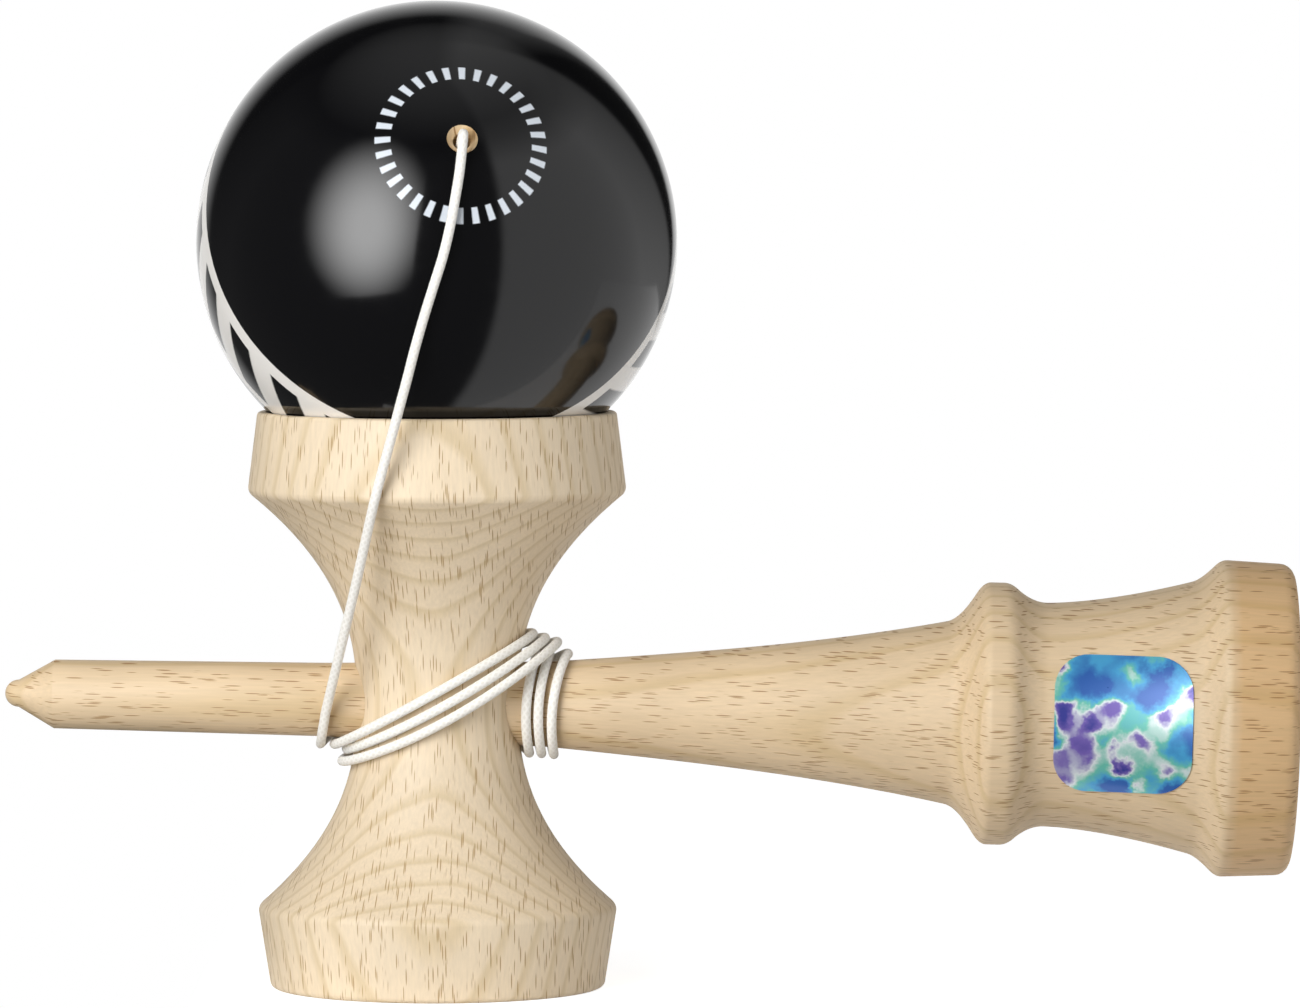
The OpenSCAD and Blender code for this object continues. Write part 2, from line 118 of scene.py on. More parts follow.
# Matrices that put a piece turned about its own Z into its place, in metres
SCALE_MM = Matrix.Scale(MM, 4)
STAND = SCALE_MM @ Matrix.Translation((0, 0, HANDLE_Z))
ON_HANDLE = STAND @ Matrix.Rotation(LEAN, 4, "Y") @ Matrix.Rotation(pi / 2, 4, "Y")
ON_BALL = (SCALE_MM @ Matrix.Translation(ball_centre) @ Matrix.Rotation(HOLE_TURN, 4, "Z")
           @ Matrix.Rotation(pi / 2 - HOLE_RISE, 4, "X"))
print("ball centre height, mm:", round(BALL_Z, 2))

# %% [markdown]
# ## Cord: the wound string
# The string is one braided cord. It is knotted inside the handle, comes out behind the waist, goes round
# the grip two and a half times, loops three times over the grip and under the spike, and then runs up to
# the ball. The same route as in the solids is worked out here from the same values, and a smooth curve
# through its points carries the cord, so no bend shows a corner.

# %% Route of the string, from the handle's hole to the ball
STRING_LIFT, STRAND_GAP = 0.25, 0.34
PITCH = 2 * STRING_R + STRAND_GAP
OFF = STRING_R + STRING_LIFT
TURNS, LOOPS = 2.5, 3
HALF_STEPS, TURN_STEPS, BEND_STEPS = 12, 24, 3
# How far a turn on the grip leans towards the crossing in front, in mm, and, all in widths of a strand: how
# far the last turn runs out, how each loop climbs on the one before, and how the loops bow
TURN_LEAN, RUN_OUT, CLIMB, FRONT_BOW, BACK_BOW, BACK_BOW_STEP = 0.8, 0.5, 0.36, 0.5, -0.75, 0.6
# Places of the loops under the spike, outwards and downwards, in widths of a strand
UNDER_SPIKE = ((0.35, 1.35), (0, 0.36), (1, 0), (2.1, 0))


def seat_r(u):
    return SEAT_SMALL_R + (SEAT_LARGE_R - SEAT_SMALL_R) * (u + SEAT_HALF) / (2 * SEAT_HALF)


def grip_r(u):
    t = max(0, (u - SEAT_HALF) / (GRIP_END - SEAT_HALF))
    swell = GRIP_STRAIGHT * t + (1 - GRIP_STRAIGHT) * t ** GRIP_POWER
    return SEAT_LARGE_R + (GRIP_END_R - SEAT_LARGE_R) * swell


def handle_r(u):
    return seat_r(u) if u < SEAT_HALF else grip_r(u)


FOOT_IN = BAND_ROUND * (1 - cos(radians(FOOT_ANGLE)))
FOOT_UP = BAND_ROUND * (1 - sin(radians(FOOT_ANGLE)))


def flare_r(v, foot, band):
    """Radius of a cup's flare at a height from the crossing, up to the rounded foot of its band."""
    return WAIST_R + (band - FOOT_IN - WAIST_R) * (abs(v) / (foot + FOOT_UP)) ** FLARE_POWER


def waist_flare(v):
    return flare_r(v, LARGE_CUP["rise"] - LARGE_CUP["band_h"], LARGE_CUP["band"])


def half_loop(a, b, bow, reach):
    """Half a loop from place a to place b, out to a reach in front of or behind the crossing."""
    out = []
    for i in range(1, HALF_STEPS + 1):
        s = pi * i / HALF_STEPS
        f = (1 - cos(s)) / 2
        out.append((a[0] + (b[0] - a[0]) * f, a[1] + (b[1] - a[1]) * f + bow * sin(s) ** 2, reach * sin(s)))
    return out


def placed(p):
    """A place [along the handle, up, towards the front] in the part's frame."""
    along, up, forward = p
    return Vector((along * cos(LEAN) + up * sin(LEAN), -forward,
                   HANDLE_Z - along * sin(LEAN) + up * cos(LEAN)))


turn_from = waist_flare(SEAT_LARGE_R + OFF) + OFF + STRING_LIFT
turn_last = turn_from + TURNS * PITCH
turn_to = turn_last + RUN_OUT * PITCH
mouth, bend = -WAIST_R, OFF + STRING_LIFT
first_r = handle_r(turn_from) + OFF
start_dir = Vector((turn_from, -first_r)).normalized()
TAIL_END = mouth + 2 * STRING_R

route = [(0, 0, TAIL_END)]
for i in range(BEND_STEPS + 1):
    a = pi / 2 * i / BEND_STEPS
    s = bend * (1 - cos(a))
    route.append((start_dir[0] * s, start_dir[1] * s, mouth - bend * sin(a)))
for i in range(1, HALF_STEPS // 2):
    s = pi / 2 + pi * i / HALF_STEPS
    route.append((-turn_from * cos(s), first_r * cos(s), -(bend - mouth) * sin(s)))
for i in range(int(TURNS * TURN_STEPS) + 1):
    t = i / TURN_STEPS
    a = 2 * pi * t - pi / 2
    run = max(0, 1 - 2 * (TURNS - t))
    u = turn_from + t * PITCH + (turn_to - turn_last) * run * run
    r = handle_r(u) + OFF
    route.append((u - TURN_LEAN * cos(a) ** 2, r * sin(a), r * cos(a)))


def over_grip(i):
    u = turn_last - STRING_R - i * PITCH
    return u, handle_r(u) + OFF + PITCH * (1 + CLIMB * i)


under_z = -SEAT_SMALL_R - OFF - (seat_r(-turn_from) - SEAT_SMALL_R)
under_u = waist_flare(under_z) + OFF
under_spike = [(-under_u - out * PITCH, under_z - down * PITCH) for out, down in UNDER_SPIKE]
for i in range(LOOPS + 1):
    start = (turn_to, handle_r(turn_to) + OFF) if i == 0 else over_grip(i - 1)
    route += half_loop(start, under_spike[i], (BACK_BOW + BACK_BOW_STEP * i) * PITCH,
                       -(WAIST_R + OFF + PITCH + STRING_LIFT))
    if i < LOOPS:
        left = LOOPS - 1 - i
        route += half_loop(under_spike[i], over_grip(i), -left * FRONT_BOW * PITCH,
                           WAIST_R + OFF + STRING_LIFT + left * STRING_LIFT / 2)
last_u, last_z = under_spike[LOOPS]
LEAD_TURN, LEAD_DRIFT = radians(57), 0.17
for i in range(1, BEND_STEPS + 1):
    a = LEAD_TURN * i / BEND_STEPS
    route.append((last_u - LEAD_DRIFT * (1 - cos(a)) * last_z, last_z * cos(a), -last_z * sin(a)))
lead_dir = Vector((LEAD_DRIFT * sin(LEAD_TURN), sin(LEAD_TURN), cos(LEAD_TURN)))
lead_dir = lead_dir.normalized() * 2 * STRING_R
route += [tuple(Vector(route[-1]) + lead_dir), tuple(Vector(route[-1]) + 2 * lead_dir)]

LEAD_ROUTE = [
    (-12.6, -9.2, 39.6), (-11.2, -12.8, 45.2), (-9.8, -16.4, 50.8), (-8.5, -19.9, 56.3),
    (-7.2, -23.4, 61.8), (-6.2, -24.6, 65.6), (-5.2, -25.6, 69.2), (-4.1, -26.7, 73.2),
    (-3, -27.8, 77.2), (-2, -28.8, 81), (-0.9, -29.7, 84.8), (0.3, -30.5, 88.6),
    (1.5, -30.9, 92.4), (2.4, -30.7, 96.2), (3, -30.1, 99.6), (3.5, -29.3, 102.8),
]
string_points = [placed(p) for p in route] + [Vector(p) for p in LEAD_ROUTE]
string_points += [ball_centre + (BALL_R + step * STRING_R) * hole_dir for step in (2, -2)]


def smooth_route(points, step):
    """Points a step apart on a smooth curve (Catmull-Rom) through the given points."""
    ends = [2 * points[0] - points[1]] + points + [2 * points[-1] - points[-2]]
    fine = []
    for a, b, c, d in zip(ends, ends[1:], ends[2:], ends[3:]):
        n = max(1, ceil((c - b).length / step))
        for k in range(n):
            t = k / n
            fine.append(0.5 * (2 * b + t * (c - a) + t * t * (2 * a - 5 * b + 4 * c - d)
                               + t ** 3 * (3 * b - a - 3 * c + d)))
    return fine + [points[-1]]


def length_of(points):
    return sum((b - a).length for a, b in zip(points, points[1:]))


RING_STEP = 0.3
string_line = smooth_route(string_points, RING_STEP)
print("string from the waist to the ball, mm:", round(length_of(string_line)))

# %% [markdown]
# A cord could be a bevelled curve, but a mesh tube keeps a map of its own: across is once round the cord
# and up is the length in millimetres, so the braid follows every bend. Each ring of the tube stands
# square to the route, and its direction is carried on from the ring before, so the tube never twists.
# The strands of the braid stand proud of the round cord by a few hundredths of a millimetre.

# %% The string as a braided tube
CORD_SIDES = 16
BRAID_PITCH = 1.0
BRAID_STRANDS = 5
BRAID_HEIGHT, BRAID_MEAN = 0.03, 0.6


def braid_height(turn, along):
    """Height of the braid at a share of the way round and a length along, from 0 to 1."""
    right = abs(sin(pi * (BRAID_STRANDS * turn + along / BRAID_PITCH)))
    left = abs(sin(pi * (BRAID_STRANDS * turn - along / BRAID_PITCH)))
    return max(right, left)


def cord_tube(name, line, radius):
    """A closed tube along a line of points in millimetres, with a map for its braid."""
    bm = bmesh.new()
    uv = bm.loops.layers.uv.new("braid")
    side, along, rings, lengths = None, 0, [], []
    for i, p in enumerate(line):
        t = (line[min(i + 1, len(line) - 1)] - line[max(i - 1, 0)]).normalized()
        if side is None:
            side = t.orthogonal()
        side = (side - side.dot(t) * t).normalized()
        other = t.cross(side)
        along += (p - line[i - 1]).length if i else 0
        ring = []
        for k in range(CORD_SIDES):
            a = 2 * pi * k / CORD_SIDES
            r = radius + BRAID_HEIGHT * (braid_height(k / CORD_SIDES, along) - BRAID_MEAN)
            ring.append(bm.verts.new((p + r * (cos(a) * side + sin(a) * other)) * MM))
        rings.append(ring)
        lengths.append(along)
    for i in range(len(rings) - 1):
        for k in range(CORD_SIDES):
            n = (k + 1) % CORD_SIDES
            face = bm.faces.new((rings[i][k], rings[i][n], rings[i + 1][n], rings[i + 1][k]))
            face.smooth = True
            for loop, (turn, up) in zip(face.loops, ((k, i), (k + 1, i), (k + 1, i + 1), (k, i + 1))):
                loop[uv].uv = (turn / CORD_SIDES, lengths[up])
    for ring in (list(reversed(rings[0])), rings[-1]):
        bm.faces.new(ring)
    mesh = bpy.data.meshes.new(name)
    bm.to_mesh(mesh)
    bm.free()
    piece = bpy.data.objects.new(name, mesh)
    bpy.context.scene.collection.objects.link(piece)
    return piece


# The lead starts above the foot of the cup's band
string = cord_tube("braided_string", string_line, STRING_R)
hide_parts("string_winding", "string_lead")
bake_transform(string)
print("string faces:", len(string.data.polygons))

# %% [markdown]
# The two ends of the string are inside the wood: a short tail runs from the hole behind the waist to the
# knot in the handle, and the other end runs through the ball and the bead to a knot in the spike hole.
# Both knots are overhand knots, which are trefoils when drawn tight, so their route is a trefoil curve.

# %% Ends of the string and their knots
KNOT_STEPS, KNOT_OPEN, KNOT_DEEP = 90, 0.07, 1.6
# Scale of each knot's curve, and radius of its tightened cord, in mm
HANDLE_KNOT_SIZE, HANDLE_KNOT_CORD = 0.36, 0.5
BEAD_KNOT_SIZE, BEAD_KNOT_CORD = 0.32, 0.42
handle_knot_at = seat_r(0) - HANDLE_KNOT_R - STRING_LIFT


def knot_line(centre, axis, size):
    """A tight overhand knot about a centre, its own axis along the string."""
    turned = axis.to_track_quat("Z", "Y")
    line = []
    for i in range(KNOT_STEPS + 1):
        t = 2 * pi * (i / KNOT_STEPS * (1 - KNOT_OPEN) + KNOT_OPEN / 2)
        q = Vector((sin(t) + 2 * sin(2 * t), cos(t) - 2 * cos(2 * t), -KNOT_DEEP * sin(3 * t)))
        line.append(centre + turned @ (q * size))
    return line


front = Vector((0, -1, 0))
cross_centre = Vector((0, 0, HANDLE_Z))
tail = cord_tube("string_tail_in_handle",
                 smooth_route([cross_centre + front * handle_knot_at, cross_centre,
                               cross_centre + front * TAIL_END], RING_STEP), STRING_R)
handle_knot = cord_tube("overhand_knot_in_handle",
                        knot_line(cross_centre + front * handle_knot_at, front, HANDLE_KNOT_SIZE),
                        HANDLE_KNOT_CORD)
ball_end = cord_tube("string_end_in_ball",
                     smooth_route([ball_centre + hole_dir * t
                                   for t in (bead_knot_at, bead_at, BALL_R - 2 * STRING_R)],
                                  RING_STEP), STRING_R)
bead_knot = cord_tube("overhand_knot_under_bead",
                      knot_line(ball_centre + hole_dir * bead_knot_at, hole_dir, BEAD_KNOT_SIZE),
                      BEAD_KNOT_CORD)
for piece, node, body in ((tail, "string_tail", "handle_body"), (handle_knot, "handle_knot", "handle_body"),
                          (ball_end, "string_in_ball", "string_end"), (bead_knot, "bead_knot", "string_end")):
    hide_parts(node)
    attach(piece, body)

# %% [markdown]
# ## Turned pieces
# The cross-piece, the handle, the ball and the bead all came off a lathe, so each is one outline spun
# about its axis. A spin keeps the rings in line with the tool marks of the real piece, and a fine outline
# keeps the silhouette round. The outline is drawn once as a row of points, from the axis to the axis.

# %% Lathe
LATHE_STEPS = 160


def lathe(outline, place):
    """A bmesh turned about Z from an outline of (radius, height) in millimetres, put into its place."""
    bm = bmesh.new()
    row = [bm.verts.new((r, 0, z)) for r, z in outline]
    edges = [bm.edges.new(pair) for pair in zip(row, row[1:])]
    bmesh.ops.spin(bm, geom=row + edges, cent=(0, 0, 0), axis=(0, 0, 1), angle=2 * pi, steps=LATHE_STEPS,
                   use_merge=True, use_duplicate=False)
    bmesh.ops.remove_doubles(bm, verts=bm.verts, dist=0.002)
    bmesh.ops.recalc_face_normals(bm, faces=bm.faces)
    bmesh.ops.transform(bm, matrix=place, verts=bm.verts)
    return bm


SHARP = radians(32)


def new_piece(name, bm):
    """A smooth-shaded object from a bmesh, with its corners kept sharp."""
    mesh = bpy.data.meshes.new(name)
    bm.to_mesh(mesh)
    bm.free()
    mesh.polygons.foreach_set("use_smooth", [True] * len(mesh.polygons))
    mesh.set_sharp_from_angle(angle=SHARP)
    piece = bpy.data.objects.new(name, mesh)
    bpy.context.scene.collection.objects.link(piece)
    return piece


def bored(piece, *cutters):
    """Cuts holes into a turned piece, and takes the cutters away."""
    for cutter in cutters:
        cut = piece.modifiers.new("bore", "BOOLEAN")
        cut.operation, cut.solver, cut.object = "DIFFERENCE", "EXACT", cutter
    bpy.context.view_layer.update()
    result = bpy.data.meshes.new_from_object(piece.evaluated_get(bpy.context.evaluated_depsgraph_get()))
    piece.modifiers.clear()
    old, piece.data = piece.data, result
    result.name = piece.name
    bpy.data.meshes.remove(old)
    for cutter in cutters:
        bpy.data.objects.remove(cutter)
    result.polygons.foreach_set("use_smooth", [True] * len(result.polygons))
    result.set_sharp_from_angle(angle=SHARP)
    return piece


def arc(centre, r, a, b, steps=8):
    """Points of a round corner between two angles in degrees."""
    angles = [radians(a + (b - a) * i / steps) for i in range(steps + 1)]
    return [(centre[0] + r * cos(t), centre[1] + r * sin(t)) for t in angles]


def hollow(edge, deep, z, steps=28):
    """Points of a cup's hollow, from the rim's inner edge to the axis."""
    r = (edge * edge + deep * deep) / (2 * deep)
    angles = [asin(edge / r) * (1 - i / steps) for i in range(steps + 1)]
    return [(r * sin(t), z + r - deep - r * cos(t)) for t in angles]


# %% [markdown]
# The cross-piece is a waist that flares into two cups. Each cup has a straight, slightly tapered band,
# a rounded foot under it and a thin flat rim. The two halves are drawn as one outline, so the waist has
# no seam, and the bores for the handle and the string are cut afterwards.

# %% Cross-piece
FLARE_STEPS = 40


def cup(rise, rim, edge, rim_round, band, band_h, deep):
    foot = rise - band_h
    heights = [(foot + FOOT_UP) * i / FLARE_STEPS for i in range(FLARE_STEPS + 1)]
    flare = [(flare_r(v, foot, band), v) for v in heights]
    return (flare + arc((band - BAND_ROUND, foot + BAND_ROUND), BAND_ROUND, -FOOT_ANGLE, 0)
            + arc((rim - rim_round, rise - rim_round), rim_round, 0, 90, steps=5)
            + hollow(edge, deep, rise))


upper = cup(**LARGE_CUP)
lower = [(r, -z) for r, z in cup(**SMALL_CUP)]
cross_piece = new_piece("turned_cross_piece", lathe(lower[::-1] + upper[1:], STAND))
OVERRUN = 1
seat_cutter = new_piece("seat_cutter", lathe([
    (0, -SEAT_HALF), (SEAT_SMALL_R + SEAT_FIT, -SEAT_HALF), (SEAT_LARGE_R + SEAT_FIT, SEAT_HALF),
    (0, SEAT_HALF)], ON_HANDLE))
TO_BACK = STAND @ Matrix.Rotation(-pi / 2, 4, "X")
hole_cutter = new_piece("hole_cutter", lathe([
    (0, 0), (HANDLE_HOLE_R, 0), (HANDLE_HOLE_R, WAIST_R - bend),
    (HANDLE_HOLE_R + bend + OVERRUN, WAIST_R + OVERRUN), (0, WAIST_R + OVERRUN)], TO_BACK))
bored(cross_piece, seat_cutter, hole_cutter)
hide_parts("cross_piece")
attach(cross_piece, "cross")
print("cross-piece faces:", len(cross_piece.data.polygons))

# %% [markdown]
# The handle is one long turning: a blunt spike, a tapered seat that is pushed into the cross-piece, a
# grip that swells to a ring, and a neck that opens into the base cup. The ring and the base cup's
# shoulder rise in flanks that start hollow, with no crease at their feet, and turn out into a round edge.

# %% Handle
TIP_STEPS, GRIP_STEPS, FLANK_STEPS = 8, 44, 24
# The edge behind the spike's point is softened by this much across and along
SOFT_ACROSS, SOFT_ALONG = 0.12, 0.22
ring_flank = RING_LEN * (1 - RING_FLAT) / 2
ring_from, ring_foot_at = RING_AT - RING_LEN / 2, RING_AT + RING_LEN / 2


def neck_r(u):
    t = max(0, (u - ring_foot_at) / (SHOULDER_AT - ring_foot_at))
    return NECK_R + (SHOULDER_R - NECK_R) * t ** NECK_POWER


def flank_r(foot, top, t):
    rise = t * t / FLANK_HOLLOW if t < FLANK_HOLLOW else 1 - (1 - t) ** 2 / (1 - FLANK_HOLLOW)
    return foot + (top - foot) * rise


flank = [i / FLANK_STEPS for i in range(FLANK_STEPS + 1)]
tip = [pi / 2 * i / TIP_STEPS for i in range(TIP_STEPS + 1)]
handle_outline = [(TIP_R * sin(a), -SPIKE_LEN + TIP_R * (1 - cos(a))) for a in tip]
handle_outline += [(SPIKE_R - SOFT_ACROSS, -SPIKE_LEN + POINT - SOFT_ALONG), (SPIKE_R, -SPIKE_LEN + POINT),
                   (SEAT_SMALL_R, -SEAT_HALF)]
for i in range(GRIP_STEPS):
    u = SEAT_HALF + (ring_from - SEAT_HALF) * i / GRIP_STEPS
    handle_outline.append((grip_r(u), u))
for t in flank:
    u = ring_from + ring_flank * t
    handle_outline.append((flank_r(grip_r(u), RING_R, t), u))
handle_outline += [(flank_r(NECK_R, RING_R, t), ring_foot_at - ring_flank * t) for t in reversed(flank)]
for t in flank[1:]:
    u = ring_foot_at + (SHOULDER_AT - ring_foot_at) * t
    handle_outline.append((neck_r(u), u))
for t in flank[1:]:
    u = SHOULDER_AT + SHOULDER_LEN * t
    handle_outline.append((flank_r(neck_r(u), BASE_BAND_R, t), u))
handle_outline += arc((BASE_RIM_R - BASE_RIM_ROUND, BASE_END - BASE_RIM_ROUND), BASE_RIM_ROUND, 0, 90, steps=5)
handle_outline += hollow(BASE_EDGE_R, BASE_DEEP, BASE_END)
handle = new_piece("turned_handle", lathe(handle_outline, ON_HANDLE))
recess_r, recess_floor = HANDLE_KNOT_R + STRING_LIFT / 2, HANDLE_KNOT_R - handle_knot_at
across_cutter = new_piece("across_cutter", lathe([
    (0, -WAIST_R), (HANDLE_HOLE_R, -WAIST_R), (HANDLE_HOLE_R, WAIST_R), (0, WAIST_R)], TO_BACK))
recess_cutter = new_piece("recess_cutter", lathe([
    (0, -WAIST_R), (recess_r, -WAIST_R), (recess_r, recess_floor), (0, recess_floor)], TO_BACK))
bored(handle, across_cutter, recess_cutter)
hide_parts("handle")
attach(handle, "handle_body")
print("handle faces:", len(handle.data.polygons))

# %% [markdown]
# The ball is a turned sphere with a string hole on one side and a wide spike hole on the other. All of it
# shares one axis, so a single outline makes the lacquered outside, the countersink, the string hole, the
# cone that seats the bead and the spike hole with its bevel.

# %% Ball and bead
SHELL_STEPS, BEAD_STEPS = 96, 24
top_at = sqrt(BALL_R ** 2 - COUNTERSINK_R ** 2)
sink_at = top_at - (COUNTERSINK_R - STRING_HOLE_R)
from_top, to_mouth = asin(COUNTERSINK_R / BALL_R), pi - asin(BEVEL_R / BALL_R)
shell = [(BALL_R * sin(t), BALL_R * cos(t))
         for t in [from_top + (to_mouth - from_top) * i / SHELL_STEPS for i in range(SHELL_STEPS + 1)]]
inside = [(BORE_R, mouth_at + BEVEL_R - BORE_R), (BORE_R, floor_at),
          (STRING_HOLE_R, cone_tip - STRING_HOLE_R), (STRING_HOLE_R, sink_at), (COUNTERSINK_R, top_at)]
ball = new_piece("lacquered_ball", lathe(shell + inside, ON_BALL))
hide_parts("ball")
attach(ball, "ball_body")

bead_bore = STRING_R + STRING_LIFT
bead_cut = asin(bead_bore / BEAD_R)
bead_shell = [(BEAD_R * sin(t), bead_at + BEAD_R * cos(t))
              for t in [bead_cut + (pi - 2 * bead_cut) * i / BEAD_STEPS for i in range(BEAD_STEPS + 1)]]
bead = new_piece("turned_stop_bead", lathe(bead_shell + [bead_shell[0]], ON_BALL))
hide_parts("stop_bead")
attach(bead, "string_end")
print("ball faces:", len(ball.data.polygons))

# %% [markdown]
# The label is a thin foil sticker on the neck's front. It starts as a flat round-cornered sheet, and each
# of its points is then moved onto the neck, which swells towards the base cup.

# %% Foil label
LABEL_LEN, LABEL_W, LABEL_T, LABEL_GAP = 17, 17, 0.15, 0.02
LABEL_AT = (ring_foot_at + SHOULDER_AT) / 2
LABEL_ROUND, LABEL_CUTS = LABEL_W / 4, 8
bm = bmesh.new()
corners = []
for cx, cy, a in ((1, 1, 0), (-1, 1, 90), (-1, -1, 180), (1, -1, 270)):
    centre = (cx * (LABEL_LEN / 2 - LABEL_ROUND), cy * (LABEL_W / 2 - LABEL_ROUND))
    corners += [bm.verts.new((x, y, 0)) for x, y in arc(centre, LABEL_ROUND, a, a + 90, steps=10)]
bm.faces.new(corners)
for cut in range(-LABEL_CUTS, LABEL_CUTS + 1):
    for square in (Vector((1, 0, 0)), Vector((0, 1, 0))):
        bmesh.ops.bisect_plane(bm, geom=bm.verts[:] + bm.edges[:] + bm.faces[:], plane_co=square * cut,
                               plane_no=square)
bmesh.ops.remove_doubles(bm, verts=bm.verts, dist=0.001)
sheet_faces = bm.faces[:]
top = bmesh.ops.extrude_face_region(bm, geom=sheet_faces)
lifted = {v for v in top["geom"] if isinstance(v, bmesh.types.BMVert)}
for v in bm.verts:
    u = LABEL_AT + v.co.x
    r = neck_r(u) + LABEL_GAP + (LABEL_T if v in lifted else 0)
    up = v.co.y
    v.co = placed((u, up, sqrt(r * r - up * up))) * MM
bmesh.ops.recalc_face_normals(bm, faces=bm.faces)
label = new_piece("foil_label", bm)
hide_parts("label")
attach(label, "handle_body")
print("label faces:", len(label.data.polygons))

# %% [markdown]
# ## Materials
# Colours are written as sRGB hex values and turned to linear by one function. One small function adds a
# node with its settings and links. Each pattern's scale comes from a real size in millimetres.

# %% Helpers for materials
def hex_colour(text, alpha=1.0):
    """Linear RGBA from an sRGB hex colour."""
    parts = [int(text[i:i + 2], 16) / 255 for i in (1, 3, 5)]
    return [c / 12.92 if c <= 0.04045 else ((c + 0.055) / 1.055) ** 2.4 for c in parts] + [alpha]


def add(tree, kind, inputs=None, stops=(), **settings):
    """Adds a node: inputs are values or feeding sockets, by name or number, and stops are those of a ramp."""
    node = tree.nodes.new(kind)
    for name, value in settings.items():
        setattr(node, name, value)
    for key, value in (inputs or {}).items():
        if isinstance(value, bpy.types.NodeSocket):
            tree.links.new(value, node.inputs[key])
        else:
            node.inputs[key].default_value = value
    for extra in stops[2:]:
        node.color_ramp.elements.new(0.5)
    for i, (at, colour) in enumerate(stops):
        node.color_ramp.elements[i].position = at
        node.color_ramp.elements[i].color = hex_colour(colour)
    return node


def new_material(name, **sockets):
    """A material with one Principled shader, whose fixed values are set on its own sockets."""
    material = bpy.data.materials.new(name)
    material.use_nodes = True
    tree = material.node_tree
    shader = tree.nodes["Principled BSDF"]
    for key, value in sockets.items():
        shader.inputs[key.replace("_", " ")].default_value = value
    return material, tree, shader


# %% [markdown]
# ### Beech, turned and sanded
# Beech is a pale, even wood. Its year rings show as soft darker lines, which turn into nested arches
# where the lathe cuts through them, and its rays show as short brown dashes along the grain. Both are
# patterns in space, not on the surface: rings are shells about a pith outside the block, and rays are
# thin ribbons that run out from that pith, so every cut shows what a real one would.

# %% Beech
# Cell of one ray round the pith and along the grain, in mm; how deep it goes is set for each piece
RAY_THICK, RAY_TALL = 0.16, 2.8


